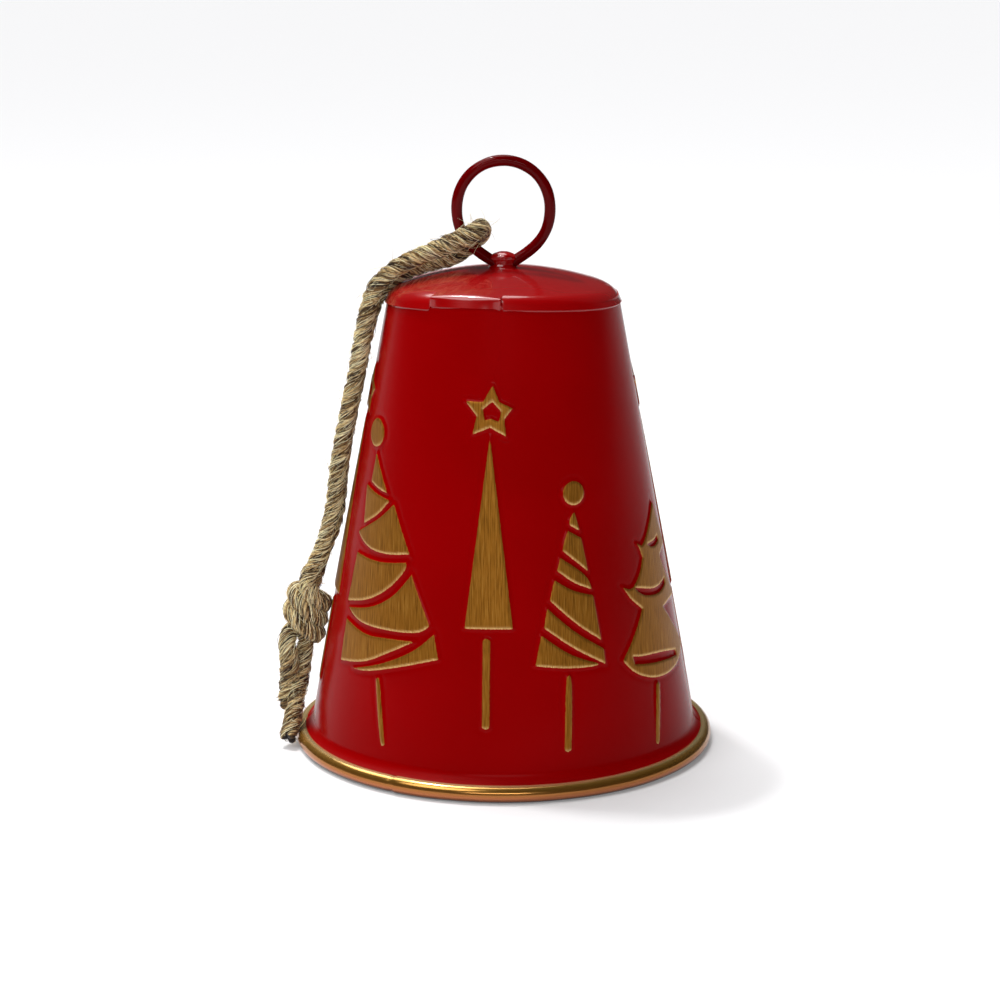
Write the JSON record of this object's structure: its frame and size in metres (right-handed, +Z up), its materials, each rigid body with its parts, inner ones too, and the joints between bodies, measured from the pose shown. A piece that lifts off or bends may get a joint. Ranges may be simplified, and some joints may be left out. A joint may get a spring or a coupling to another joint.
{
  "type": "bell ornament",
  "caption": "Tall conical sheet-metal bell with a rolled rim, folded cap, wire hanging ring, knotted rope and an inner clapper.",
  "frame": {"origin": "centre of the rim's underside, on the surface the bell stands on", "axes": "+Z up along the bell's axis, -Y towards the front, the ring lies in the XZ plane"},
  "size_m": [0.1629, 0.155, 0.2168],
  "materials": {
    "red_enamel": "glossy red paint",
    "dark_red_enamel": "glossy dark red paint",
    "gold_enamel": "satin gold paint",
    "steel_wire": "dull drawn wire",
    "cast_ball": "rough cast",
    "jute_rope": "hairy twisted jute"
  },
  "bodies": {
    "bell": {"front_shell": "red_enamel", "rear_shell": "red_enamel", "rim_hem": "gold_enamel", "rim_wire": "steel_wire", "cap": "red_enamel", "hanging_ring": "dark_red_enamel", "ring_boss": "dark_red_enamel", "cap_washer": "steel_wire", "eye_pin": "steel_wire", "rope_loop": "jute_rope", "rope_knot": "jute_rope", "rope_tail_outer": "jute_rope", "rope_tail_inner": "jute_rope"},
    "link": {"clapper_link": "steel_wire"},
    "clapper": {"clapper_rod": "steel_wire", "clapper_ball": "cast_ball"}
  },
  "joints": [
    {"name": "link_swing", "type": "hinge", "parent": "bell", "child": "link", "pos_m": [0, 0, 0.1631], "axis": [1, 0, 0], "range_deg": [-17, 17]},
    {"name": "clapper_swing", "type": "hinge", "parent": "link", "child": "clapper", "pos_m": [0, 0, 0.15575], "axis": [0, 1, 0], "range_deg": [-17, 17]}
  ]
}
